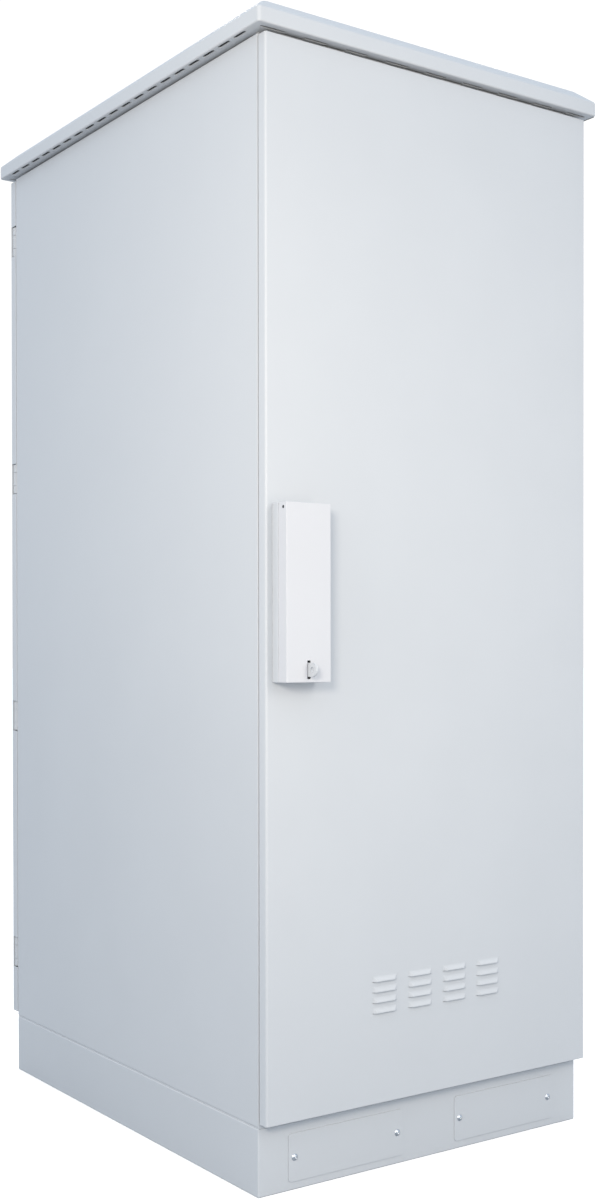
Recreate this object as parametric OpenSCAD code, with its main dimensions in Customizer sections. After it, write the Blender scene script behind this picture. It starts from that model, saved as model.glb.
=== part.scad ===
// Floor-standing outdoor cabinet for rack equipment. Two doors, a louvred plinth-mounted body
// and a slotted rain hood. Front faces -Y, +Z is up, the origin is on the floor under the centre.

/* [Body] */
// Width over the side panels
body_w = 700; // [600:10:800]
// Depth of the body between the door seams
body_d = 900; // [800:10:1000]
// Height of the plinth
plinth_h = 110; // [90:5:150]
// Height of the top of the body above the floor
body_top = 1837; // [1700:1:2000]
// Thickness of the body sheet
sheet = 2; // [1.5:0.5:3]

/* [Plinth] */
// Width of the plinth's folded flanges
plinth_flange = 60; // [50:5:80]
// Diameter of the floor anchor holes
anchor_hole_d = 14; // [10:1:18]
// Inset of the anchor holes from the plinth's outer faces
anchor_inset = 30; // [25:1:35]
// Width of a plinth cover plate
cover_w = 235; // [200:5:260]
// Height of a plinth cover plate
cover_h = 78; // [60:1:90]
// Distance between the two screws of a cover plate
cover_screw_pitch = 211; // [180:1:220]

/* [Doors] */
// Gap between the plinth and the bottom edge of a door
door_lift = 8; // [5:1:12]
// Height of a door
door_h = 1716; // [1580:1:1880]
// Depth of the door's folded edge
door_edge = 20; // [16:1:24]
// Gap between a closed door and the body
door_gap = 3.5; // [3:0.5:5]
// Thickness of the door sheet
door_sheet = 1.5; // [1.2:0.1:2]
// Distance between hinges
hinge_pitch = 490; // [400:5:520]
// Length of a hinge
hinge_len = 59; // [50:1:70]

/* [Louvres] */
// Number of louvre columns
louvre_cols = 4; // [1:1:5]
// Number of louvre rows
louvre_rows = 4; // [1:1:5]
// Column pitch of the louvres
louvre_pitch_x = 76; // [70:1:90]
// Row pitch of the louvres
louvre_pitch_z = 17.3; // [15:0.1:25]
// Length of one louvre
louvre_w = 53; // [40:1:60]
// Height of one louvre
louvre_h = 10.5; // [8:0.5:12]
// Depth of one louvre
louvre_d = 4.5; // [3:0.5:6]

/* [Handle cover] */
// Width of the handle cover
flap_w = 85; // [80:1:90]
// Height of the handle cover
flap_h = 281; // [260:1:300]
// Depth of the handle cover from the door's face
flap_d = 40; // [38:1:45]
// Height of the cover's lower edge above the lower edge of the door
flap_low = 699; // [600:1:800]
// Radius of the crank that drives the lock rods
crank_r = 14; // [12:0.5:15]

/* [Roof] */
// Overhang of the roof beyond the side panels
roof_side = 20; // [15:1:30]
// Overhang of the roof beyond the body's front and rear
roof_front = 35; // [32:1:45]
// Gap between the body and the roof
roof_lift = 4; // [3:1:8]
// Height of the roof's vertical edge
fascia_h = 25; // [20:1:40]
// Width of the roof's sloping border, seen from above
slope_w = 27; // [20:1:50]
// Rise of the roof's sloping border
slope_h = 22; // [15:1:40]
// Slots along each side of the roof
side_slots = 19; // [10:1:20]
// Slots in the outer row along the front of the roof
front_slots = 9; // [5:1:9]

/* [Rack] */
// Height units of the rack rails
rack_units = 36; // [30:1:37]
// Clear width between the rack rails
rack_gap = 450; // [450:1:452]
// Distance from the body's front to the front rails
rail_set = 78; // [70:1:120]

/* [Hidden] */

$fn = 48;
cut = 1;                                        // how far a cutter runs past a face
paint = [0.84, 0.86, 0.88];                     // light grey powder coat
zinc = [0.72, 0.74, 0.76];
rubber = [0.12, 0.12, 0.13];

half_w = body_w / 2;
half_d = body_d / 2;
door_z = plinth_h + door_lift;
door_top = door_z + door_h;
door_back = -half_d - door_gap;                 // rear edge of the front door's folded edge
door_face = door_back - door_edge;              // outer face of the front door
door_in = door_face + door_sheet;               // inner face of the front door's skin
door_lip = 15;                                  // width of the door's inner return

frame_edge = 27;                                // from the body's side to the doorway
rim_out = 14;                                   // how far the doorway's rim stands forward
rim_x = half_w - frame_edge + sheet;            // outer face of the rim
way_z0 = door_z + frame_edge - sheet;           // lower edge of the doorway
way_z1 = door_top - frame_edge + sheet;         // upper edge of the doorway
inner_w = body_w - 2 * sheet;
inner_d = body_d - 2 * sheet;
post_deep = 50;                                 // depth of a corner post
rib_y = 190;                                    // stiffening ribs inside a side panel
rib_w = 40;
rib_deep = 12;

anchor_x = half_w - anchor_inset;
anchor_y = half_d - anchor_inset;
cover_x = half_w / 2;                           // centre of a cover plate, from the middle
cover_z = 53;                                   // centre of a cover plate above the floor
hatch_w = 180;                                  // opening in the plinth behind a cover plate
hatch_h = 50;
cover_sheet = 1.5;
cover_r = 6;                                    // corner radius of a cover plate
cover_hole_d = 6.4;                             // for an M6 screw

m12_hole_d = 13;
m8_hole_d = 9;
m5_hole_d = 5.5;
m6_hole_d = 6.4;

gland_w = 360;
gland_d = 260;
gland_screw = [gland_w / 2 - 10, gland_d / 2 - 10];
floor_way = [gland_w - 40, gland_d - 40];       // opening in the floor pan under the gland plate
cable_slot = [300, 60];
ceiling_vent = [240, 120];                      // air leaves through it into the roof
pan_edge_h = 28;                                // upstand along each side of the floor and ceiling pans
pan_edge_l = inner_d - 2 * post_deep - 4;

hinge_x = half_w - 7;                           // hinge axis
hinge_y = door_face + 8.5;
hinge_r = 6;
pin_r = 3;
run_gap = 0.08;                                 // radial clearance of a pin in its bore
hinge_mid = hinge_len - 2 * 15.5 - 1;           // length of the door's knuckle
hinge_z = [for (i = [0:3]) door_z + (door_h - 3 * hinge_pitch) / 2 + i * hinge_pitch];

lock_x = -half_w + 54.5;                        // centre line of the lock and its cover
flap_z = door_z + flap_low;
flap_top = flap_z + flap_h;
flap_sheet = 1.5;
flap_front = door_face - flap_d;
base_d = 16.5;                                  // depth of the fixed tray behind the flap
base_front = door_face - base_d;
pivot_y = door_face - 30.8;
pivot_z = flap_top - 7.7;
pivot_r = 2.5;
flap_swing_r = 13.8;                            // largest radius of the flap behind its pivot
cheek_x = flap_w / 2 - flap_sheet - 0.5;        // outer face of a cheek
staple_z = flap_z + 20;
staple_h = 22;
staple_out = 22;                                // how far the staple stands out of the flap
staple_t = 4;
lock_z = flap_z + 143;
spindle_r = 6;
rod_y = -half_d + 4;                            // front face of the lock rods
rod_t = 4;
rod_w = 14;
crank_pin_r = 3;
rod_low = way_z0 + 6;
rod_high = way_z1 - 6;
rod_x = crank_r * (1 + cos(45)) / 2;            // rods run this far beside the lock's axis
guide_z = [door_z + 60, door_z + 420, lock_z + 320, door_top - 70];

filter_w = 316;
filter_h = 100;
filter_d = 16;
filter_z = door_z + 126;                        // lower edge of the filter
louvre_z = door_z + 150.5;                      // lower lip of the lowest louvre row

roof_w = body_w + 2 * roof_side;
roof_d = body_d + 2 * roof_front;
roof_z = body_top + roof_lift;
roof_sheet = 1.5;
roof_flange = 50;
roof_bolt = [half_w - 15, half_d - 15];
roof_flange_end = 65;                           // flange along the front and rear
slot_w = 5.5;
side_slot_out = 13;                             // slots stand this far outside the body
front_slot_out = 18.5;
inner_slot_out = 11.5;
side_slot_l = 32;
side_slot_pitch = 46.8;
front_slot_l = 46;
front_slot_pitch = 83.3;

rack_pitch = 44.45;
rack_hole = 9.5;
rack_hole_x = 465.1 / 2;
rack_hole_rise = [6.35, 22.25, 38.1];           // the three holes of one height unit
rail_z = door_z + 45;
rail_l = rack_units * rack_pitch + 20;
rail_x = rack_gap / 2;
rail_face = 32;
rail_deep = 40;
member_z = [rail_z + 90, rail_z + rail_l / 2, rail_z + rail_l - 90];
member_h = 40;
member_x = half_w - 24;                         // outer face of a depth member's web
member_bolt_y = half_d - rail_set - 22;

// ---------------------------------------------------------------- shared shapes

module at_rear() {
    rotate([0, 0, 180]) children();
}

// Box from its low corner to its high corner
module block(low, high) {
    translate(low) cube(high - low);
}

module slot_2d(length, width) {
    square([length - width, width], center = true);
    for (side = [-1, 1])
        translate([side * (length - width) / 2, 0]) circle(d = width);
}

module round_rect_2d(w, h, r) {
    square([w - 2 * r, h], center = true);
    square([w, h - 2 * r], center = true);
    for (sx = [-1, 1], sy = [-1, 1])
        translate([sx * (w / 2 - r), sy * (h / 2 - r)]) circle(r);
}

// Sheet with its outline in X and Z, from y up by its thickness
module upright_sheet(y, thickness) {
    translate([0, y + thickness, 0]) rotate([90, 0, 0]) linear_extrude(thickness) children();
}

// Sheet with its outline in Y and Z, from x up by its thickness
module side_sheet(x, thickness) {
    translate([x, 0, 0]) rotate([90, 0, 90]) linear_extrude(thickness) children();
}

module hex_bolt(d, head_w, head_h, length) {
    cylinder(d = head_w / cos(30), h = head_h, $fn = 6);
    translate([0, 0, -length]) cylinder(d = d, h = length + head_h / 2);
}

module hex_nut(d, head_w, head_h) {
    difference() {
        cylinder(d = head_w / cos(30), h = head_h, $fn = 6);
        translate([0, 0, -cut]) cylinder(d = d + 0.1, h = head_h + 2 * cut);
    }
}

// ---------------------------------------------------------------- plinth

module at_covers() {
    for (turn = [0, 180], side = [-1, 1])
        rotate([0, 0, turn]) translate([side * cover_x, -half_d, cover_z]) children();
}

module plinth() {
    color(paint) difference() {
        block([-half_w, -half_d, 0], [half_w, half_d, plinth_h]);
        block([-half_w + sheet, -half_d + sheet, sheet], [half_w - sheet, half_d - sheet, plinth_h - sheet]);
        block([-half_w + plinth_flange, -half_d + plinth_flange, -cut],
              [half_w - plinth_flange, half_d - plinth_flange, plinth_h + cut]);
        for (sx = [-1, 1], sy = [-1, 1])
            translate([sx * anchor_x, sy * anchor_y, -cut]) cylinder(d = anchor_hole_d, h = sheet + 2 * cut);
        for (sx = [-1, 1], sy = [-1, 1])
            translate([sx * anchor_x, sy * anchor_y, plinth_h - sheet - cut])
                cylinder(d = m12_hole_d, h = sheet + 2 * cut);
        at_covers() {
            block([-hatch_w / 2, -cut, -hatch_h / 2], [hatch_w / 2, sheet + cut, hatch_h / 2]);
            for (side = [-1, 1])
                translate([side * cover_screw_pitch / 2, -cut, 0]) rotate([-90, 0, 0])
                    cylinder(d = cover_hole_d, h = sheet + 2 * cut);
        }
    }
}

module plinth_cover(turn, side) {
    color(paint) rotate([0, 0, turn]) translate([side * cover_x, 0, cover_z])
        upright_sheet(-half_d - cover_sheet, cover_sheet) difference() {
            round_rect_2d(cover_w, cover_h, cover_r);
            for (end = [-1, 1]) translate([end * cover_screw_pitch / 2, 0]) circle(d = cover_hole_d);
        }
}

module plinth_cover_screws() {
    color(zinc) at_covers() for (side = [-1, 1])
        translate([side * cover_screw_pitch / 2, -cover_sheet, 0]) rotate([-90, 0, 0]) {
            cylinder(d = 6, h = 12);
            difference() {
                translate([0, 0, 4.6]) sphere(r = 7.4);
                translate([0, 0, 10]) cube(20, center = true);
                translate([0, 0, -3]) cylinder(d = 4, h = 1.8, $fn = 6);
            }
        }
}

// ---------------------------------------------------------------- body

module floor_pan() {
    color(paint) {
        difference() {
            block([-inner_w / 2, -inner_d / 2, plinth_h], [inner_w / 2, inner_d / 2, plinth_h + sheet]);
            block([-floor_way[0] / 2, -floor_way[1] / 2, plinth_h - cut],
                  [floor_way[0] / 2, floor_way[1] / 2, plinth_h + sheet + cut]);
            for (sx = [-1, 1], sy = [-1, 1]) {
                translate([sx * anchor_x, sy * anchor_y, plinth_h - cut])
                    cylinder(d = m12_hole_d, h = sheet + 2 * cut);
                translate([sx * gland_screw[0], sy * gland_screw[1], plinth_h - cut])
                    cylinder(d = m5_hole_d, h = sheet + 2 * cut);
            }
        }
        for (side = [-1, 1])
            translate([side * (inner_w / 2 - sheet / 2), 0, plinth_h + sheet + pan_edge_h / 2])
                cube([sheet, pan_edge_l, pan_edge_h], center = true);
    }
}

module gland_plate() {
    color(zinc) translate([0, 0, plinth_h + sheet]) linear_extrude(sheet) difference() {
        square([gland_w, gland_d], center = true);
        round_rect_2d(cable_slot[0], cable_slot[1], 10);
        for (sx = [-1, 1], sy = [-1, 1])
            translate([sx * gland_screw[0], sy * gland_screw[1]]) circle(d = m5_hole_d);
    }
}

module gland_plate_screws() {
    color(zinc) for (sx = [-1, 1], sy = [-1, 1])
        translate([sx * gland_screw[0], sy * gland_screw[1], plinth_h + 2 * sheet]) hex_bolt(5, 8, 3.5, 12);
}

module door_frame() {
    color(paint) {
        upright_sheet(-half_d, sheet) difference() {
            translate([-inner_w / 2, plinth_h]) square([inner_w, body_top - plinth_h]);
            translate([-rim_x + sheet, way_z0 + sheet])
                square([2 * (rim_x - sheet), way_z1 - way_z0 - 2 * sheet]);
        }
        upright_sheet(-half_d - rim_out, rim_out + sheet / 2) difference() {
            translate([-rim_x, way_z0]) square([2 * rim_x, way_z1 - way_z0]);
            translate([-rim_x + sheet, way_z0 + sheet])
                square([2 * (rim_x - sheet), way_z1 - way_z0 - 2 * sheet]);
        }
    }
}

// Corner post, a folded channel behind the door frame: side is -1 or 1, end is -1 or 1
module post(side, end) {
    color(paint) translate([0, 0, plinth_h + sheet]) linear_extrude(body_top - plinth_h - 2 * sheet)
        mirror([side < 0 ? 1 : 0, 0]) mirror([0, end > 0 ? 1 : 0]) {
            translate([rim_x - sheet, -inner_d / 2]) square([inner_w / 2 - rim_x + sheet, sheet]);
            translate([inner_w / 2 - sheet, -inner_d / 2]) square([sheet, post_deep]);
            translate([member_x, -inner_d / 2 + post_deep - sheet])
                square([inner_w / 2 - member_x, sheet]);
        }
}

module ceiling_pan() {
    color(paint) {
        difference() {
            block([-inner_w / 2, -inner_d / 2, body_top - sheet], [inner_w / 2, inner_d / 2, body_top]);
            block([-ceiling_vent[0] / 2, -ceiling_vent[1] / 2, body_top - sheet - cut],
                  [ceiling_vent[0] / 2, ceiling_vent[1] / 2, body_top + cut]);
            for (sx = [-1, 1], sy = [-1, 1])
                translate([sx * roof_bolt[0], sy * roof_bolt[1], body_top - sheet - cut])
                    cylinder(d = m8_hole_d, h = sheet + 2 * cut);
        }
        for (side = [-1, 1])
            translate([side * (inner_w / 2 - sheet / 2), 0, body_top - sheet - pan_edge_h / 2])
                cube([sheet, pan_edge_l, pan_edge_h], center = true);
    }
}

module side_panel(side) {
    color(paint) mirror([side < 0 ? 1 : 0, 0, 0]) {
        side_sheet(half_w - sheet, sheet)
            translate([-half_d, plinth_h + 2.5]) square([body_d, body_top - plinth_h - 2.5]);
        // two folded ribs welded to the inner face
        for (end = [-1, 1])
            block([half_w - sheet - rib_deep, end * rib_y - rib_w / 2, plinth_h + 60],
                  [half_w - sheet, end * rib_y + rib_w / 2, body_top - 60]);
    }
}

module frame_bolts() {
    color(zinc) for (sx = [-1, 1], sy = [-1, 1]) {
        translate([sx * anchor_x, sy * anchor_y, plinth_h + sheet]) hex_bolt(12, 19, 8, 26);
        translate([sx * anchor_x, sy * anchor_y, plinth_h - sheet - 10]) hex_nut(12, 19, 10);
        translate([sx * roof_bolt[0], sy * roof_bolt[1], body_top - sheet]) mirror([0, 0, 1])
            hex_bolt(8, 13, 5.5, 20);
        translate([sx * roof_bolt[0], sy * roof_bolt[1], roof_z + roof_sheet]) hex_nut(8, 13, 6.5);
    }
    color(zinc) for (side = [-1, 1], end = [-1, 1], z = member_z)
        translate([side * (rail_x + rail_face - sheet), end * member_bolt_y, z])
            rotate([0, -90 * side, 0]) hex_bolt(6, 10, 4, 12);
}

module earth_stud() {
    color([0.78, 0.62, 0.3]) translate([member_x - 41, -half_d + 100, plinth_h + sheet]) {
        cylinder(d = 8, h = 30);
        cylinder(d = 15, h = 5, $fn = 6);
    }
}

// ---------------------------------------------------------------- roof

// Flat-topped block whose upper edges slope in on all four sides
module sloped_block(w, d, straight, inset, rise) {
    intersection() {
        rotate([90, 0, 0]) linear_extrude(d, center = true) sloped_2d(w, straight, inset, rise);
        rotate([90, 0, 90]) linear_extrude(w, center = true) sloped_2d(d, straight, inset, rise);
    }
}

module sloped_2d(w, straight, inset, rise) {
    polygon([[-w / 2, 0], [w / 2, 0], [w / 2, straight], [w / 2 - inset, straight + rise],
             [-w / 2 + inset, straight + rise], [-w / 2, straight]]);
}

module roof_slots_2d() {
    for (side = [-1, 1], i = [0:side_slots - 1])
        translate([side * (half_w + side_slot_out), (i - (side_slots - 1) / 2) * side_slot_pitch])
            rotate(90) slot_2d(side_slot_l, slot_w);
    for (side = [-1, 1], i = [0:front_slots - 1])
        translate([(i - (front_slots - 1) / 2) * front_slot_pitch, side * (half_d + front_slot_out)])
            slot_2d(front_slot_l, slot_w - 0.5);
    for (side = [-1, 1], i = [0:front_slots - 2])
        translate([(i - (front_slots - 2) / 2) * front_slot_pitch, side * (half_d + inner_slot_out)])
            slot_2d(front_slot_l, slot_w - 0.5);
}

module roof() {
    slope = atan2(slope_h, slope_w);
    fold_low = roof_sheet * tan((90 - slope) / 2);
    fold_high = roof_sheet * tan(slope / 2);
    color(paint) translate([0, 0, roof_z]) {
        difference() {
            sloped_block(roof_w, roof_d, fascia_h, slope_w, slope_h);
            translate([0, 0, roof_sheet])
                sloped_block(roof_w - 2 * roof_sheet, roof_d - 2 * roof_sheet,
                             fascia_h - roof_sheet - fold_low, slope_w - roof_sheet + fold_high,
                             slope_h - roof_sheet + fold_low);
            translate([0, 0, -cut]) linear_extrude(roof_sheet + 2 * cut) {
                square([roof_w - 2 * roof_flange, roof_d - 2 * roof_flange_end], center = true);
                roof_slots_2d();
                for (sx = [-1, 1], sy = [-1, 1])
                    translate([sx * roof_bolt[0], sy * roof_bolt[1]]) circle(d = m8_hole_d);
            }
        }
    }
}

module roof_spacers() {
    color(zinc) for (sx = [-1, 1], sy = [-1, 1])
        translate([sx * roof_bolt[0], sy * roof_bolt[1], body_top]) difference() {
            cylinder(d = 22, h = roof_lift);
            translate([0, 0, -cut]) cylinder(d = m8_hole_d, h = roof_lift + 2 * cut);
        }
}

// ---------------------------------------------------------------- rack

module rail(side, end) {
    color(zinc) mirror([side < 0 ? 1 : 0, 0, 0]) mirror([0, end > 0 ? 1 : 0, 0]) {
        upright_sheet(-half_d + rail_set, sheet) difference() {
            translate([rail_x, rail_z]) square([rail_face, rail_l]);
            for (unit = [0:rack_units - 1], rise = rack_hole_rise)
                translate([rack_hole_x, rail_z + 10 + unit * rack_pitch + rise])
                    square(rack_hole, center = true);
        }
        side_sheet(rail_x + rail_face - sheet, sheet) difference() {
            translate([-half_d + rail_set + sheet, rail_z]) square([rail_deep - sheet, rail_l]);
            for (z = member_z) translate([-member_bolt_y, z]) circle(d = m6_hole_d);
        }
    }
}

// Depth members of one side: channels from post to post, with an end tab on each post
module depth_members(side) {
    lip_x = rail_x + rail_face;
    run = inner_d - 2 * post_deep;
    color(zinc) mirror([side < 0 ? 1 : 0, 0, 0]) for (z = member_z) {
        block([lip_x, -run / 2, z - member_h / 2], [member_x, run / 2, z - member_h / 2 + sheet]);
        block([member_x - sheet, -run / 2, z - member_h / 2], [member_x, run / 2, z + member_h / 2]);
        difference() {
            block([lip_x, -run / 2, z - member_h / 2], [lip_x + sheet, run / 2, z + member_h / 2]);
            for (end = [-1, 1]) translate([lip_x - cut, end * member_bolt_y, z])
                rotate([0, 90, 0]) cylinder(d = m6_hole_d, h = sheet + 2 * cut);
        }
        for (end = [-1, 1]) translate([0, end * (run / 2 - sheet / 2), 0])
            block([member_x - sheet, -sheet / 2, z - member_h / 2],
                  [inner_w / 2 - sheet - 1, sheet / 2, z + member_h / 2]);
    }
}

// ---------------------------------------------------------------- hinges

module knuckle(z0, z1) {
    translate([hinge_x, hinge_y, z0]) cylinder(r = hinge_r, h = z1 - z0);
}

module hinge_bore(z) {
    translate([hinge_x, hinge_y, z - hinge_len / 2 - cut])
        cylinder(r = pin_r + run_gap, h = hinge_len + 2 * cut);
}

// Body leaves: two outer knuckles each, on a foot welded to the door frame
module hinge_leaves() {
    color(paint) for (z = hinge_z) difference() {
        union() {
            for (side = [-1, 1]) {
                outer = z + side * hinge_len / 2;
                inner = z + side * (hinge_mid / 2 + 0.5);
                knuckle(min(outer, inner), max(outer, inner));
                block([hinge_x - hinge_r, hinge_y, min(outer, inner)],
                      [hinge_x - hinge_r + 2.5, -half_d, max(outer, inner)]);
            }
            block([hinge_x - hinge_r, hinge_y + hinge_r + 1, z - hinge_len / 2],
                  [hinge_x - hinge_r + 2.5, -half_d, z + hinge_len / 2]);
            block([hinge_x - hinge_r, -half_d - 2.5, z - hinge_len / 2],
                  [half_w - sheet, -half_d, z + hinge_len / 2]);
        }
        hinge_bore(z);
    }
}

module hinge_pins() {
    color(zinc) for (z = hinge_z)
        translate([hinge_x, hinge_y, z - hinge_len / 2]) {
            cylinder(r = pin_r, h = hinge_len);
            translate([0, 0, hinge_len]) cylinder(r = pin_r + 1, h = 1.2);
        }
}

module door_hinge_leaves() {
    color(paint) for (z = hinge_z) difference() {
        union() {
            knuckle(z - hinge_mid / 2, z + hinge_mid / 2);
            block([half_w - 20, door_in, z - hinge_mid / 2], [hinge_x, door_in + 2.5, z + hinge_mid / 2]);
        }
        hinge_bore(z);
    }
}

// ---------------------------------------------------------------- door

// One pressed louvre, open at its lower edge, standing out of the door's skin
module louvre(inset) {
    w = louvre_w - 2 * inset;
    translate([-w / 2, 0, 0]) rotate([90, 0, 90]) linear_extrude(w)
        polygon([[door_sheet + cut, inset > 0 ? -cut : 0], [-louvre_d + inset, inset > 0 ? -cut : 0],
                 [-louvre_d + inset, 1.5], [-louvre_d * 0.75 + inset, louvre_h * 0.45],
                 [0, louvre_h - inset * 1.6], [door_sheet + cut, louvre_h - inset * 1.6]]);
}

module at_louvres() {
    for (col = [0:louvre_cols - 1], row = [0:louvre_rows - 1])
        translate([(col - (louvre_cols - 1) / 2) * louvre_pitch_x, door_face,
                   louvre_z + row * louvre_pitch_z]) children();
}

module door() {
    color(paint) difference() {
        union() {
            difference() {
                block([-half_w, door_face, door_z], [half_w, door_back, door_top]);
                block([-half_w + door_sheet, door_in, door_z + door_sheet],
                      [half_w - door_sheet, door_back - door_sheet, door_top - door_sheet]);
                block([-half_w + door_lip, door_in, door_z + door_lip],
                      [half_w - door_lip, door_back + cut, door_top - door_lip]);
            }
            at_louvres() intersection() {
                louvre(0);
                block([-louvre_w, -louvre_d, -cut], [louvre_w, door_sheet, louvre_h]);
            }
        }
        at_louvres() louvre(1.2);
        for (z = hinge_z)
            block([half_w - door_lip - cut, door_in, z - hinge_len / 2 - 1.5],
                  [half_w + cut, door_back + cut, z + hinge_len / 2 + 1.5]);
        translate([lock_x, door_face - cut, lock_z]) rotate([-90, 0, 0])
            cylinder(d = 22, h = door_sheet + 2 * cut);
    }
}

module door_gasket() {
    color(rubber) upright_sheet(door_in, -half_d - rim_out - door_in) difference() {
        translate([-rim_x - 4, way_z0 - 4]) square([2 * rim_x + 8, way_z1 - way_z0 + 8]);
        translate([-rim_x + 6, way_z0 + 6]) square([2 * rim_x - 12, way_z1 - way_z0 - 12]);
    }
}

module door_stiffeners() {
    // hat sections: a raised web between two flanges on the door's skin
    z0 = way_z0 + 20;
    z1 = way_z1 - 20;
    rise = 14;
    thin = 1.5;
    web = 27;
    flange = 6.5;
    color(zinc) for (x = [-235, 235]) {
        translate([x, 0, 0]) block([-web / 2, door_in + rise - thin, z0], [web / 2, door_in + rise, z1]);
        for (side = [-1, 1]) translate([x + side * (web - thin) / 2, 0, 0]) {
            block([-thin / 2, door_in, z0], [thin / 2, door_in + rise, z1]);
            translate([side * (flange + thin) / 2, 0, 0])
                block([-flange / 2, door_in, z0], [flange / 2, door_in + thin, z1]);
        }
    }
}

module filter_frame() {
    color(rubber) difference() {
        block([-filter_w / 2, door_in, filter_z], [filter_w / 2, door_in + filter_d, filter_z + filter_h]);
        block([-filter_w / 2 + 3, door_in - cut, filter_z + 3],
              [filter_w / 2 - 3, door_in + filter_d - 3, filter_z + filter_h - 3]);
        for (col = [-3:3], row = [0, 1])
            translate([col * 43, 0, filter_z + 28 + row * 44])
                block([-18, door_in, -18], [18, door_in + filter_d + cut, 18]);
    }
}

module filter_mat() {
    color([0.9, 0.9, 0.88]) block([-filter_w / 2 + 3.5, door_in + 2, filter_z + 3.5],
                                  [filter_w / 2 - 3.5, door_in + filter_d - 3.5, filter_z + filter_h - 3.5]);
}

// ---------------------------------------------------------------- lock and handle cover

module base_cheek_2d() {
    translate([pivot_y - 6, flap_top - 46]) square([7, pivot_z - flap_top + 46]);
    translate([pivot_y, pivot_z]) circle(r = 5.8);
    translate([pivot_y - 6, flap_top - 46]) square([door_face - pivot_y + 6 - flap_sheet, 20]);
}

module handle_base() {
    color(paint) translate([lock_x, 0, 0]) difference() {
        union() {
            difference() {
                block([-flap_w / 2, base_front, flap_z], [flap_w / 2, door_face, flap_top]);
                block([-flap_w / 2 + flap_sheet, base_front - cut, flap_z + flap_sheet],
                      [flap_w / 2 - flap_sheet, door_face - flap_sheet, flap_top - flap_sheet]);
            }
            // rain lip over the top of the flap
            block([-cheek_x, door_face - 20.5, flap_top - flap_sheet], [cheek_x, base_front + cut, flap_top]);
            for (side = [-1, 1])
                side_sheet(side > 0 ? cheek_x - 2 : -cheek_x, 2) base_cheek_2d();
            // staple for a padlock
            side_sheet(-staple_t / 2, staple_t) {
                translate([flap_front - staple_out + staple_h / 2, staple_z - staple_h / 2])
                    square([door_face - flap_front + staple_out - staple_h / 2 - flap_sheet, staple_h]);
                translate([flap_front - staple_out + staple_h / 2, staple_z]) circle(d = staple_h);
            }
            // boss that carries the lock's spindle, through the door's skin
            translate([0, door_face - 6, lock_z]) rotate([-90, 0, 0]) cylinder(r = 9.5, h = 10);
        }
        translate([0, flap_front - staple_out + staple_h / 2, staple_z]) rotate([0, 90, 0])
            cylinder(d = 9, h = staple_t + 2 * cut, center = true);
        translate([0, door_face - 30, lock_z]) rotate([-90, 0, 0])
            cylinder(r = spindle_r + run_gap, h = 50);
        translate([0, pivot_y, pivot_z]) rotate([0, 90, 0])
            cylinder(r = pivot_r + run_gap, h = flap_w + 2 * cut, center = true);
    }
}

module cover_pin() {
    color(zinc) translate([lock_x, pivot_y, pivot_z]) rotate([0, 90, 0])
        cylinder(r = pivot_r, h = flap_w, center = true);
}

module flap_side_2d() {
    back = base_front - 0.5;
    translate([flap_front, flap_z]) square([back - flap_front, pivot_z - flap_z]);
    intersection() {
        translate([pivot_y, pivot_z]) circle(r = flap_swing_r);
        translate([flap_front, pivot_z - 1]) square([back - flap_front, flap_top - pivot_z + 1]);
    }
}

module handle_cover() {
    color(paint) translate([lock_x, 0, 0]) difference() {
        union() {
            block([-flap_w / 2, flap_front, flap_z], [flap_w / 2, flap_front + flap_sheet, flap_top]);
            for (side = [-1, 1])
                side_sheet(side > 0 ? flap_w / 2 - flap_sheet : -flap_w / 2, flap_sheet) flap_side_2d();
            block([-flap_w / 2, flap_front, flap_top - flap_sheet], [flap_w / 2, pivot_y + 4.5, flap_top]);
            block([-flap_w / 2, flap_front, flap_z], [flap_w / 2, base_front - 0.5, flap_z + flap_sheet]);
        }
        translate([0, flap_front - cut, staple_z]) rotate([-90, 0, 0])
            linear_extrude(flap_sheet + 2 * cut) square([6.5, staple_h + 7], center = true);
        translate([0, pivot_y, pivot_z]) rotate([0, 90, 0])
            cylinder(r = pivot_r + run_gap, h = flap_w + 2 * cut, center = true);
    }
}

module lock_handle() {
    color(rubber) translate([lock_x, 0, lock_z]) {
        translate([0, door_face - 14, 0]) rotate([-90, 0, 0]) cylinder(r = 12, h = 7.5);
        translate([0, door_face - 14, 0]) rotate([90, 0, 0]) linear_extrude(16)
            rotate(90) slot_2d(64, 15);
        translate([0, door_face - 10, 0]) rotate([-90, 0, 0]) cylinder(r = spindle_r, h = 26);
        block([-4, door_face + 15, -4], [4, rod_y - 1, 4]);
    }
}

module lock_crank() {
    color(zinc) translate([lock_x, 0, lock_z]) rotate([0, 45, 0]) {
        translate([0, rod_y - 1, 0]) rotate([90, 0, 0]) linear_extrude(4) difference() {
            circle(r = crank_r + crank_pin_r + 2.5);
            rotate(-45) square(8, center = true);
        }
        for (side = [-1, 1])
            translate([side * crank_r, rod_y - 2, 0]) rotate([-90, 0, 0])
                cylinder(r = crank_pin_r, h = 6.5);
    }
}

// Lock rod: up is 1 for the rod that locks upward, -1 for the one that locks downward
module lock_rod(up) {
    pin_z = lock_z - up * crank_r * sin(45);
    yoke = 9;
    end_z = up > 0 ? rod_high : rod_low;
    color(zinc) translate([lock_x + up * rod_x, 0, 0]) upright_sheet(rod_y, rod_t) difference() {
        union() {
            translate([-rod_w / 2, min(pin_z, end_z)]) square([rod_w, abs(end_z - pin_z)]);
            translate([-rod_x + 2 + (up > 0 ? 0 : -4), pin_z - yoke]) square([2 * rod_x, 2 * yoke]);
        }
        translate([0, pin_z]) square([crank_r * (1 - cos(45)) + 2 * crank_pin_r + 1.6,
                                      2 * crank_pin_r + 1.6], center = true);
    }
}

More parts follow.
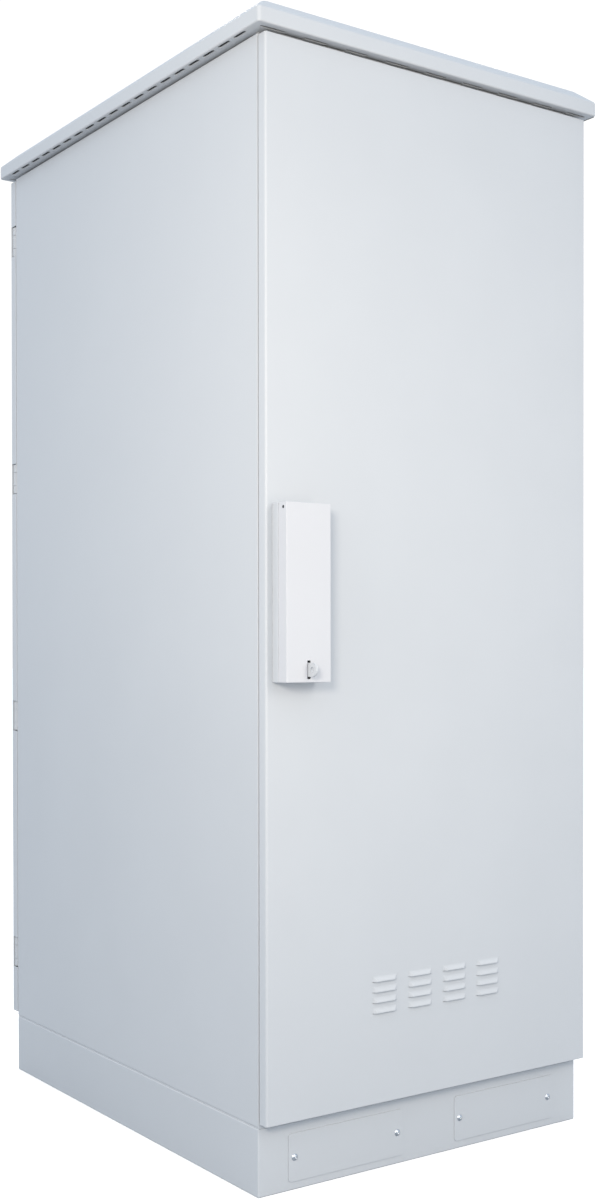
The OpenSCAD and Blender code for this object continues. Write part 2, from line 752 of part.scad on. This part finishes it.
module rod_guides() {
    color(rubber) for (i = [0:3]) {
        up = i < 2 ? -1 : 1;
        translate([lock_x + up * rod_x, 0, guide_z[i]]) difference() {
            block([-rod_w / 2 - 3, door_in, -8], [rod_w / 2 + 3, rod_y + rod_t + 3, 8]);
            block([-rod_w / 2 - 0.4, rod_y - 0.4, -8 - cut], [rod_w / 2 + 0.4, rod_y + rod_t + 0.4, 8 + cut]);
        }
    }
}

// ---------------------------------------------------------------- nodes

plinth();
plinth_cover(0, -1);  // plinth_cover_front_left
plinth_cover(0, 1);  // plinth_cover_front_right
plinth_cover(180, 1);  // plinth_cover_rear_left
plinth_cover(180, -1);  // plinth_cover_rear_right
plinth_cover_screws();
floor_pan();
gland_plate();
gland_plate_screws();
door_frame();  // front_frame
at_rear() door_frame();  // rear_frame
post(-1, -1);  // post_front_left
post(1, -1);  // post_front_right
post(-1, 1);  // post_rear_left
post(1, 1);  // post_rear_right
ceiling_pan();
side_panel(-1);  // side_panel_left
side_panel(1);  // side_panel_right
roof();
roof_spacers();
frame_bolts();
rail(-1, -1);  // rail_front_left
rail(1, -1);  // rail_front_right
rail(-1, 1);  // rail_rear_left
rail(1, 1);  // rail_rear_right
depth_members(-1);  // depth_members_left
depth_members(1);  // depth_members_right
earth_stud();
hinge_leaves();  // front_hinge_leaves
hinge_pins();  // front_hinge_pins
at_rear() hinge_leaves();  // rear_hinge_leaves
at_rear() hinge_pins();  // rear_hinge_pins
door();  // front_door
door_gasket();  // front_door_gasket
door_stiffeners();  // front_door_stiffeners
door_hinge_leaves();  // front_door_hinge_leaves
filter_frame();  // front_filter_frame
filter_mat();  // front_filter_mat
rod_guides();  // front_rod_guides
handle_base();  // front_handle_base
cover_pin();  // front_cover_pin
handle_cover();  // front_handle_cover
lock_handle();  // front_lock_handle
lock_crank();  // front_lock_crank
lock_rod(1);  // front_upper_rod
lock_rod(-1);  // front_lower_rod
at_rear() door();  // rear_door
at_rear() door_gasket();  // rear_door_gasket
at_rear() door_stiffeners();  // rear_door_stiffeners
at_rear() door_hinge_leaves();  // rear_door_hinge_leaves
at_rear() filter_frame();  // rear_filter_frame
at_rear() filter_mat();  // rear_filter_mat
at_rear() rod_guides();  // rear_rod_guides
at_rear() handle_base();  // rear_handle_base
at_rear() cover_pin();  // rear_cover_pin
at_rear() handle_cover();  // rear_handle_cover
at_rear() lock_handle();  // rear_lock_handle
at_rear() lock_crank();  // rear_lock_crank
at_rear() lock_rod(1);  // rear_upper_rod
at_rear() lock_rod(-1);  // rear_lower_rod
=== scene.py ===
# Outdoor equipment cabinet, put together from the ground up: plinth, body, roof, rack, hinges,
# doors and locks. The rear end carries the same pieces as the front, turned half round.
import math

import bmesh
import bpy
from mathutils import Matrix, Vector


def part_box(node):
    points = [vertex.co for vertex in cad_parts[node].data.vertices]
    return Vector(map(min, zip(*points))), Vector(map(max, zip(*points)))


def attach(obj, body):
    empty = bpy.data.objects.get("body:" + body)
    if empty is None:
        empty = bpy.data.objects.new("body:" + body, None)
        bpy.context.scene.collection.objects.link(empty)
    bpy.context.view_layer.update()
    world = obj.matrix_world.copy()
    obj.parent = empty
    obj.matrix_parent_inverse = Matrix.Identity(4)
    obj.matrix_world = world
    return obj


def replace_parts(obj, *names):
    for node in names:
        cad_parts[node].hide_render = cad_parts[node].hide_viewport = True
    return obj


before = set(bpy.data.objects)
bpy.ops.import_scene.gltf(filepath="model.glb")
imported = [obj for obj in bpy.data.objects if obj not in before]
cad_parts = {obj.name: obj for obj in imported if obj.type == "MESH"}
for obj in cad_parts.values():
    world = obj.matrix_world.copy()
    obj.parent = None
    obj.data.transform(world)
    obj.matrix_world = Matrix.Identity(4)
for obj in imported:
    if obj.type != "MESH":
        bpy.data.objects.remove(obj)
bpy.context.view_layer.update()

# ------------------------------------------------------------------ camera, floor and light
# The cabinet stands on a plain pale studio floor and is seen from its front left corner, from about
# half its height. Places are in metres, which MM turns millimetres into.
MM = 0.001
CAMERA_TURN = (89.51, 0.06, -35.08)  # degrees
camera_data = bpy.data.cameras.new("studio_camera")
camera_data.lens = 45.13
camera_data.sensor_width = 36
camera_data.shift_y = 0.050
camera = bpy.data.objects.new("studio_camera", camera_data)
camera.location = (-1.6585, -2.4282, 0.8724)
camera.rotation_euler = [math.radians(a) for a in CAMERA_TURN]
bpy.context.scene.collection.objects.link(camera)
bpy.context.scene.camera = camera
bpy.context.scene.view_settings.view_transform = "Standard"


def linear(hex_colour):
    """An sRGB hex colour as the linear RGBA that a shader takes."""
    parts = [int(hex_colour[i:i + 2], 16) / 255 for i in (1, 3, 5)]
    return [c / 12.92 if c <= 0.04045 else ((c + 0.055) / 1.055) ** 2.4 for c in parts] + [1.0]


def add(tree, kind, inputs=None, **settings):
    """Adds a node. settings are its own choices, inputs its sockets' values or what is linked to them."""
    node = tree.nodes.new(kind)
    for name, value in settings.items():
        setattr(node, name, value)
    for name, value in (inputs or {}).items():
        if isinstance(value, bpy.types.NodeSocket):
            tree.links.new(value, node.inputs[name])
        else:
            node.inputs[name].default_value = value
    return node


def start_material(name):
    """A material with an empty node tree, and the place on the piece that its patterns are drawn at."""
    material = bpy.data.materials.new(name)
    material.use_nodes = True
    material.node_tree.nodes.clear()
    place = add(material.node_tree, "ShaderNodeTexCoord").outputs["Object"]
    return material, material.node_tree, place


def end_material(material, shader):
    add(material.node_tree, "ShaderNodeOutputMaterial", {"Surface": shader.outputs["BSDF"]})
    return material


FLOOR_RADIUS = 60


def studio_floor(name, material):
    bpy.ops.mesh.primitive_circle_add(vertices=96, radius=FLOOR_RADIUS, fill_type="NGON")
    disc = bpy.context.object
    disc.name = name
    disc.data.materials.append(material)
    return disc


def white_floor_paint():
    """White floor paint, matt and glowing a little, so that shadows on it stay pale."""
    material, tree, place = start_material("white_floor_paint")
    haze = add(tree, "ShaderNodeTexNoise", {"Vector": place, "Scale": 1.5, "Detail": 2})
    colour = add(tree, "ShaderNodeMix", {
        "Factor": haze.outputs["Fac"], "A": linear("#F1F2F3"), "B": linear("#F5F6F7")}, data_type="RGBA")
    shader = add(tree, "ShaderNodeBsdfPrincipled", {
        "Base Color": colour.outputs["Result"], "Roughness": 0.9, "Specular IOR Level": 0.1,
        "Emission Color": linear("#FFFBF5"), "Emission Strength": 0.35})
    return end_material(material, shader)


def grey_floor_paint():
    """Pale grey floor paint, matt: it throws a little of the lamps' light back up."""
    material, tree, place = start_material("grey_floor_paint")
    haze = add(tree, "ShaderNodeTexNoise", {"Vector": place, "Scale": 1.5, "Detail": 2})
    colour = add(tree, "ShaderNodeMix", {
        "Factor": haze.outputs["Fac"], "A": linear("#A9AEB4"), "B": linear("#ADB2B8")}, data_type="RGBA")
    shader = add(tree, "ShaderNodeBsdfPrincipled", {
        "Base Color": colour.outputs["Result"], "Roughness": 0.9, "Specular IOR Level": 0.1})
    return end_material(material, shader)


# The floor that is seen is white. The grey one just below it isn't seen: it is the floor that lights
# the object from below, because a white one would give too much.
seen_floor = studio_floor("studio_floor", white_floor_paint())
seen_floor.visible_diffuse = False
seen_floor.visible_glossy = False
seen_floor.visible_shadow = False
felt_floor = studio_floor("studio_floor_reflection", grey_floor_paint())
felt_floor.location.z = -1 * MM
felt_floor.visible_camera = False

# The room round it all is white to look at and gives a slightly cool light.
room = bpy.data.worlds.new("studio_room")
room.use_nodes = True
walls = room.node_tree.nodes["Background"]
ray = add(room.node_tree, "ShaderNodeLightPath")
wall_colour = add(room.node_tree, "ShaderNodeMix", {
    "Factor": ray.outputs["Is Camera Ray"], "A": linear("#E6F2FF"), "B": linear("#FFFFFF")}, data_type="RGBA")
room.node_tree.links.new(wall_colour.outputs["Result"], walls.inputs["Color"])
walls.inputs["Strength"].default_value = 1.06
bpy.context.scene.world = room


WARM_WHITE = "#FFF3E2"


def soft_box(place, target, width, height, watts):
    """A lamp with a white cloth front, aimed at a point. It stays out of every picture."""
    lamp = bpy.data.lights.new("soft_box", "AREA")
    lamp.shape = "RECTANGLE"
    lamp.size = width
    lamp.size_y = height
    lamp.energy = watts
    lamp.color = linear(WARM_WHITE)[:3]
    holder = bpy.data.objects.new("soft_box", lamp)
    holder.location = place
    holder.rotation_euler = (Vector(target) - Vector(place)).to_track_quat("-Z", "Y").to_euler()
    holder.visible_camera = False
    bpy.context.scene.collection.objects.link(holder)


# the main light, from the front left
soft_box((-2.2, -2.4, 1.55), (-0.3, -0.45, 1.1), 0.6, 0.6, 40)
# two faint upright strips along the left side, and one before the front
soft_box((-1.15, -0.7, 1.4), (-0.35, -0.1, 1.4), 0.3, 1.6, 3.4)
soft_box((-1.6, 0.9, 1.5), (-0.35, 0.2, 1.3), 0.5, 1.5, 1.8)
soft_box((0.1, -1.9, 1.2), (0.1, -0.47, 1.1), 0.5, 1.6, 10)
# a large one behind, for the rear, the right side and the roof
soft_box((2.2, 2.6, 3.1), (0.1, 0.2, 1.4), 1.6, 1.6, 95)

# ------------------------------------------------------------------ plinth
# Folded steel channels welded into a frame, which is bolted to the ground under the body.
# Light grey polyester powder is sprayed on and baked, as on all the outer sheet metal.


def powder_coated_steel(name, darker, lighter):
    """Baked polyester powder: an even light grey, satin, with the faint orange peel of melted powder."""
    material, tree, place = start_material(name)
    # the gun leaves slightly thicker and thinner patches about a hand wide
    patch = add(tree, "ShaderNodeTexNoise", {"Vector": place, "Scale": 1 / (160 * MM), "Detail": 3})
    # orange peel waves are about 2 mm across
    peel = add(tree, "ShaderNodeTexNoise", {"Vector": place, "Scale": 1 / (2.2 * MM), "Detail": 2})
    bump = add(tree, "ShaderNodeBump", {
        "Height": peel.outputs["Fac"], "Strength": 0.15, "Distance": 0.2 * MM})
    gloss = add(tree, "ShaderNodeMapRange", {"Value": patch.outputs["Fac"], "To Min": 0.40, "To Max": 0.50})
    colour = add(tree, "ShaderNodeMix", {
        "Factor": patch.outputs["Fac"], "A": linear(darker), "B": linear(lighter)}, data_type="RGBA")
    shader = add(tree, "ShaderNodeBsdfPrincipled", {
        "Base Color": colour.outputs["Result"], "IOR": 1.5, "Roughness": gloss.outputs["Result"],
        "Normal": bump.outputs["Normal"]})
    return end_material(material, shader)


FOLD_ANGLE = math.radians(25)  # two faces that turn by more than this meet in a fold or a cut
SMOOTH_ANGLE = math.radians(26)  # a rounded fold turns by 22.5 degrees a step, and looks smooth
FLAT_ANGLE = math.radians(0.6)  # faces that turn by less than this are one flat face
JOINED = 0.002 * MM  # points this close are one point
ON_PLANE = 0.03 * MM  # points this close to a plane lie on it


def is_sharp(edge):
    return len(edge.link_faces) == 2 and edge.calc_face_angle(0) > FOLD_ANGLE


def ridges(mesh):
    """The sharp edges along the ridges of a piece's outer shape, which is where its sheet is folded."""
    hull = bmesh.new()
    bmesh.ops.convex_hull(hull, input=[hull.verts.new(v.co) for v in mesh.verts])
    planes = {}
    for face in hull.faces:
        face.normal_update()
        offset = face.normal.dot(face.verts[0].co)
        planes[tuple(round(x, 4) for x in (*face.normal, offset))] = (face.normal.copy(), offset)
    hull.free()
    found = []
    for edge in filter(is_sharp, mesh.edges):
        on = [normal for normal, offset in planes.values()
              if all(abs(normal.dot(vert.co) - offset) < ON_PLANE for vert in edge.verts)]
        if len(on) > 1:
            found.append(edge)
    return found


def round_edges(mesh, edges, radius_mm, steps=4, clamp=False):
    bmesh.ops.bevel(mesh, geom=edges, offset=radius_mm * MM, offset_type="OFFSET", segments=steps,
                    profile=0.5, affect="EDGES", clamp_overlap=clamp)


def show(mesh, name, material, body):
    """Makes a bmesh into a piece that rides on a CAD body, with its flat faces kept flat."""
    data = bpy.data.meshes.new(name)
    mesh.to_mesh(data)
    mesh.free()
    data.materials.append(material)
    data.shade_smooth()
    data.set_sharp_from_angle(angle=SMOOTH_ANGLE)
    piece = bpy.data.objects.new(name, data)
    bpy.context.scene.collection.objects.link(piece)
    even = piece.modifiers.new("flat_faces", "WEIGHTED_NORMAL")
    even.keep_sharp = True
    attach(piece, body)
    return piece


def everywhere(middle):
    return True


def folded(node, body, material, *folds, more=None):
    """The CAD node's sheet with its folds rounded. A fold is its radius in mm and a test of its middle."""
    mesh = bmesh.new()
    mesh.from_mesh(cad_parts[node].data)
    bmesh.ops.remove_doubles(mesh, verts=mesh.verts, dist=JOINED)
    bmesh.ops.dissolve_limit(mesh, angle_limit=FLAT_ANGLE, verts=mesh.verts, edges=mesh.edges)
    for radius_mm, chosen in folds:
        edges = [e for e in ridges(mesh) if chosen((e.verts[0].co + e.verts[1].co) / 2)]
        round_edges(mesh, edges, radius_mm)
    if more:
        more(mesh)
    bmesh.ops.dissolve_degenerate(mesh, dist=JOINED, edges=mesh.edges)
    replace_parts(show(mesh, node + "_sheet", material, body), node)


POWDER_COATED_STEEL = powder_coated_steel("powder_coated_steel", "#BEC1C5", "#C2C5C9")
folded("plinth", "cabinet", POWDER_COATED_STEEL, (2.5, everywhere))

# ------------------------------------------------------------------ plinth covers and their screws
# Flat plates over the four hand holes of the plinth, sheared from sheet and coated like it.
# Each is held by two dome-headed steel screws, zinc plated.


def zinc_plated_steel():
    """Bright zinc on cold-formed steel: bluish silver, cloudy where the bath has left it thicker."""
    material, tree, place = start_material("zinc_plated_steel")
    cloud = add(tree, "ShaderNodeTexNoise", {"Vector": place, "Scale": 1 / (4 * MM), "Detail": 3})
    gloss = add(tree, "ShaderNodeMapRange", {"Value": cloud.outputs["Fac"], "To Min": 0.22, "To Max": 0.40})
    colour = add(tree, "ShaderNodeMix", {
        "Factor": cloud.outputs["Fac"], "A": linear("#B9BEC4"), "B": linear("#D0D4D9")}, data_type="RGBA")
    shader = add(tree, "ShaderNodeBsdfPrincipled", {
        "Base Color": colour.outputs["Result"], "Metallic": 1.0, "Roughness": gloss.outputs["Result"]})
    return end_material(material, shader)


CORNER_ANGLE = math.radians(35)


def dress(nodes, material, edge_mm=0.0):
    """Gives CAD nodes their finish and, where it would catch the light, a broken edge."""
    for node in nodes:
        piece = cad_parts[node]
        piece.data.materials.clear()
        piece.data.materials.append(material)
        if edge_mm:
            weld = piece.modifiers.new("joined_faces", "WELD")
            weld.merge_threshold = JOINED
            flat = piece.modifiers.new("whole_faces", "DECIMATE")
            flat.decimate_type = "DISSOLVE"
            flat.angle_limit = FLAT_ANGLE
            edge = piece.modifiers.new("broken_edge", "BEVEL")
            edge.width = edge_mm * MM
            edge.segments = 2
            edge.angle_limit = CORNER_ANGLE
            even = piece.modifiers.new("flat_faces", "WEIGHTED_NORMAL")
            even.keep_sharp = True


ENDS = ("front", "rear")
CORNERS = [f"{end}_{side}" for end in ENDS for side in ("left", "right")]
ZINC_PLATED_STEEL = zinc_plated_steel()
dress(["plinth_cover_" + corner for corner in CORNERS], POWDER_COATED_STEEL, 0.4)
dress(["plinth_cover_screws"], ZINC_PLATED_STEEL)

# ------------------------------------------------------------------ floor pan and gland plate
# The body's floor is a coated pan with an opening, closed by a galvanised plate with the slot that
# cables rise through. Four small zinc-plated screws hold the plate.


def galvanised_steel():
    """Hot-dip galvanised sheet: flat grey metal with spangle, the frost-like crystals of cooled zinc."""
    material, tree, place = start_material("galvanised_steel")
    # crystals are about 9 mm across
    spangle = add(tree, "ShaderNodeTexVoronoi", {"Vector": place, "Scale": 1 / (9 * MM)})
    shade = add(tree, "ShaderNodeSeparateColor", {"Color": spangle.outputs["Color"]}).outputs["Red"]
    gloss = add(tree, "ShaderNodeMapRange", {"Value": shade, "To Min": 0.36, "To Max": 0.52})
    colour = add(tree, "ShaderNodeMix", {
        "Factor": shade, "A": linear("#A8AEB3"), "B": linear("#BCC2C6")}, data_type="RGBA")
    shader = add(tree, "ShaderNodeBsdfPrincipled", {
        "Base Color": colour.outputs["Result"], "Metallic": 1.0, "Roughness": gloss.outputs["Result"]})
    return end_material(material, shader)


GALVANISED_STEEL = galvanised_steel()
dress(["floor_pan"], POWDER_COATED_STEEL)
dress(["gland_plate"], GALVANISED_STEEL)
dress(["gland_plate_screws"], ZINC_PLATED_STEEL)

# ------------------------------------------------------------------ door frames, posts and panels
# Two door frames with a raised rim, four corner posts and a ceiling pan, all folded and welded,
# are closed by two flat side panels. The whole body is coated at once.
dress(["front_frame", "rear_frame", "ceiling_pan"], POWDER_COATED_STEEL)
dress(["post_" + corner for corner in CORNERS], POWDER_COATED_STEEL)
TOUCHING = 0.1 * MM  # an edge this close to a face of the piece lies on it
LEFT_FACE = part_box("side_panel_left")[0][0]
RIGHT_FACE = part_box("side_panel_right")[1][0]
folded("side_panel_left", "cabinet", POWDER_COATED_STEEL,
       (1.8, lambda middle: abs(middle.x - LEFT_FACE) < TOUCHING))
folded("side_panel_right", "cabinet", POWDER_COATED_STEEL,
       (1.8, lambda middle: abs(middle.x - RIGHT_FACE) < TOUCHING))

# ------------------------------------------------------------------ roof
# A rain hood folded from one sheet, its corners welded and ground round, with slots punched in its
# underside to let air out. It stands on four spacers and is bolted from inside the body.
ROOF_CORNER = 28 * MM
roof_low, roof_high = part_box("roof")


def at_roof_corner(middle):
    return all(min(middle[i] - roof_low[i], roof_high[i] - middle[i]) < ROOF_CORNER for i in (0, 1))


folded("roof", "cabinet", POWDER_COATED_STEEL, (6, at_roof_corner), (2.5, everywhere))
dress(["roof_spacers", "frame_bolts"], ZINC_PLATED_STEEL)

# ------------------------------------------------------------------ rack rails and earth stud
# Punched and folded from galvanised sheet, bolted together inside the body. The brass stud for
# the earth wire is pressed into the floor pan.


def turned_brass():
    """Brass bar turned and threaded: warm yellow, with rings of the thread 1.25 mm apart."""
    material, tree, place = start_material("turned_brass")
    # the wave node draws a band every 2 pi / 20 of a metre at scale 1
    thread = add(tree, "ShaderNodeTexWave", {
        "Vector": place, "Scale": 2 * math.pi / 20 / (1.25 * MM)}, bands_direction="Z")
    bump = add(tree, "ShaderNodeBump", {
        "Height": thread.outputs["Fac"], "Strength": 0.9, "Distance": 0.5 * MM})
    colour = add(tree, "ShaderNodeMix", {
        "Factor": thread.outputs["Fac"], "A": linear("#A8843A"), "B": linear("#D2AF62")}, data_type="RGBA")
    shader = add(tree, "ShaderNodeBsdfPrincipled", {
        "Base Color": colour.outputs["Result"], "Metallic": 1.0, "Roughness": 0.3,
        "Normal": bump.outputs["Normal"]})
    return end_material(material, shader)


dress(["rail_" + corner for corner in CORNERS], GALVANISED_STEEL)
dress(["depth_members_left", "depth_members_right"], GALVANISED_STEEL)
dress(["earth_stud"], turned_brass())

# ------------------------------------------------------------------ hinges
# Four lift-off hinges an end: knuckles welded to the door frame and to the door, coated with them,
# on plain zinc-plated pins.
for end in ENDS:
    dress([end + "_hinge_leaves", end + "_door_hinge_leaves"], POWDER_COATED_STEEL, 0.4)
    dress([end + "_hinge_pins"], ZINC_PLATED_STEEL)

# ------------------------------------------------------------------ doors
# Each door is one sheet folded back along all four edges, with louvres pressed out low down and two
# galvanised hat sections welded inside. A foamed rubber strip is laid round it against the rim.


def foamed_rubber():
    """Foamed rubber strip: dull black, with pores that show as a fine roughness."""
    material, tree, place = start_material("foamed_rubber")
    # pores are about 0.8 mm across
    pores = add(tree, "ShaderNodeTexVoronoi", {"Vector": place, "Scale": 1 / (0.8 * MM)})
    depth = pores.outputs["Distance"]
    bump = add(tree, "ShaderNodeBump", {"Height": depth, "Strength": 0.5, "Distance": 0.3 * MM})
    colour = add(tree, "ShaderNodeMix", {
        "Factor": depth, "A": linear("#101011"), "B": linear("#222224")}, data_type="RGBA")
    shader = add(tree, "ShaderNodeBsdfPrincipled", {
        "Base Color": colour.outputs["Result"], "IOR": 1.52, "Roughness": 0.88,
        "Normal": bump.outputs["Normal"]})
    return end_material(material, shader)


LOUVRE_PITCH = 76 * MM
LOUVRE_DEPTH = 4.5 * MM  # how far a louvre stands out of the door
LOUVRE_END = 8 * MM  # how far its sloping ends run in
LOUVRE_EDGE = 0.4 * MM  # edges farther out than this are rounded
DOOR_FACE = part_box("rear_door")[1][1] - LOUVRE_DEPTH


def press_louvres(mesh):
    """Slopes the ends of the louvres, as the punch leaves them, and rounds their outer edges."""
    for vert in mesh.verts:
        proud = abs(vert.co.y) - DOOR_FACE
        if proud > TOUCHING / 2:
            middle = (round(vert.co.x / LOUVRE_PITCH - 0.5) + 0.5) * LOUVRE_PITCH
            vert.co.x += math.copysign(LOUVRE_END * proud / LOUVRE_DEPTH, middle - vert.co.x)
    mesh.normal_update()
    # the lips face down and stay sharp
    outer = [edge for edge in mesh.edges if is_sharp(edge) and edge.is_convex
             and abs(edge.verts[0].co.y + edge.verts[1].co.y) / 2 > DOOR_FACE + LOUVRE_EDGE
             and all(face.normal.z > -0.9 for face in edge.link_faces)]
    round_edges(mesh, outer, 1.4, steps=3, clamp=True)


def at_lock_edge(middle):
    return (abs(middle.x - lock_edge) < TOUCHING and door_low[2] + MM < middle.z < door_high[2] - MM
            and abs(middle.y) > DOOR_FACE - TOUCHING)


def behind_louvres(middle):
    return abs(middle.y) < DOOR_FACE + TOUCHING


FOAMED_RUBBER = foamed_rubber()
for end in ENDS:
    door_low, door_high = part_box(end + "_door")
    # each door is locked at its left edge, as seen from outside
    lock_edge = door_low[0] if end == "front" else door_high[0]
    folded(end + "_door", end + "_door", POWDER_COATED_STEEL, (4, at_lock_edge), (1.4, behind_louvres),
           more=press_louvres)
    dress([end + "_door_stiffeners"], GALVANISED_STEEL)
    dress([end + "_door_gasket"], FOAMED_RUBBER)

# ------------------------------------------------------------------ air filters
# Behind each door's louvres a moulded black nylon frame with square windows is clipped to the skin.
# It holds a mat of white polyester fibre against the holes.


def moulded_nylon():
    """Black glass-filled nylon from a spark-eroded mould: satin, with a fine even grain."""
    material, tree, place = start_material("moulded_nylon")
    grain = add(tree, "ShaderNodeTexNoise", {"Vector": place, "Scale": 1 / (0.5 * MM), "Detail": 2})
    bump = add(tree, "ShaderNodeBump", {
        "Height": grain.outputs["Fac"], "Strength": 0.35, "Distance": 0.1 * MM})
    gloss = add(tree, "ShaderNodeMapRange", {"Value": grain.outputs["Fac"], "To Min": 0.42, "To Max": 0.58})
    colour = add(tree, "ShaderNodeMix", {
        "Factor": grain.outputs["Fac"], "A": linear("#18191B"), "B": linear("#222326")}, data_type="RGBA")
    shader = add(tree, "ShaderNodeBsdfPrincipled", {
        "Base Color": colour.outputs["Result"], "IOR": 1.53, "Roughness": gloss.outputs["Result"],
        "Normal": bump.outputs["Normal"]})
    return end_material(material, shader)


def polyester_fleece():
    """Needled polyester filter mat: off-white and fluffy, with fibres lying every way."""
    material, tree, place = start_material("polyester_fleece")
    # fibres are drawn 0.7 mm wide, coarser than they are, so that they show
    fibres = add(tree, "ShaderNodeTexNoise", {
        "Vector": place, "Scale": 1 / (0.7 * MM), "Detail": 6, "Roughness": 0.8, "Distortion": 2.5})
    bump = add(tree, "ShaderNodeBump", {
        "Height": fibres.outputs["Fac"], "Strength": 0.8, "Distance": 0.6 * MM})
    colour = add(tree, "ShaderNodeMix", {
        "Factor": fibres.outputs["Fac"], "A": linear("#C9CAC4"), "B": linear("#EFEFEB")}, data_type="RGBA")
    shader = add(tree, "ShaderNodeBsdfPrincipled", {
        "Base Color": colour.outputs["Result"], "Roughness": 0.95, "Sheen Weight": 0.3,
        "Normal": bump.outputs["Normal"]})
    return end_material(material, shader)


MOULDED_NYLON = moulded_nylon()
POLYESTER_FLEECE = polyester_fleece()
for end in ENDS:
    dress([end + "_filter_frame"], MOULDED_NYLON, 0.4)
    dress([end + "_filter_mat"], POLYESTER_FLEECE)

# ------------------------------------------------------------------ lock rods and guides
# Two flat galvanised bars per door slide in nylon guides and reach behind the door frame when
# locked. The crank that moves them is zinc-plated steel, pressed onto the lock's spindle.
for end in ENDS:
    dress([end + "_upper_rod", end + "_lower_rod"], GALVANISED_STEEL, 0.5)
    dress([end + "_rod_guides"], MOULDED_NYLON, 0.4)
    dress([end + "_lock_crank"], ZINC_PLATED_STEEL, 0.3)

# ------------------------------------------------------------------ lock handle
# A moulded nylon toggle on a square spindle, with a key cylinder set into it. It is turned a quarter
# turn to draw or shoot the rods.
for end in ENDS:
    dress([end + "_lock_handle"], MOULDED_NYLON, 1.0)

# ------------------------------------------------------------------ handle tray and cover
# A shallow coated tray is welded to the door round the lock. A flap, drawn a little whiter than the door,
# pivots at its top on a steel pin drawn near black: painted shade for the hole it sits in. It drops over the
# lock, where a flat eye of the tray passes through it for a padlock.


def pin_painted_shade():
    """Painted shade: near black, so that the pin's end looks like the shadowed hole it sits in, with uneven
    smears of oil.
    """
    material, tree, place = start_material("pin_painted_shade")
    smear = add(tree, "ShaderNodeTexNoise", {"Vector": place, "Scale": 1 / (1.5 * MM), "Detail": 3})
    gloss = add(tree, "ShaderNodeMapRange", {"Value": smear.outputs["Fac"], "To Min": 0.35, "To Max": 0.55})
    colour = add(tree, "ShaderNodeMix", {
        "Factor": smear.outputs["Fac"], "A": linear("#2B2D31"), "B": linear("#3C3F44")}, data_type="RGBA")
    shader = add(tree, "ShaderNodeBsdfPrincipled", {
        "Base Color": colour.outputs["Result"], "Metallic": 0.8, "Roughness": gloss.outputs["Result"]})
    return end_material(material, shader)


# the cover's pin is drawn near black as painted shade for the hole it sits in
PIN_PAINTED_SHADE = pin_painted_shade()
# the flap is drawn a little whiter than the door
WHITER_POWDER_COAT = powder_coated_steel("powder_coated_cover", "#C5C6CA", "#C9CACE")
for end in ENDS:
    folded(end + "_handle_base", end + "_door", POWDER_COATED_STEEL, (1.0, everywhere))
    folded(end + "_handle_cover", end + "_handle_cover", WHITER_POWDER_COAT, (1.2, everywhere))
    dress([end + "_cover_pin"], PIN_PAINTED_SHADE)
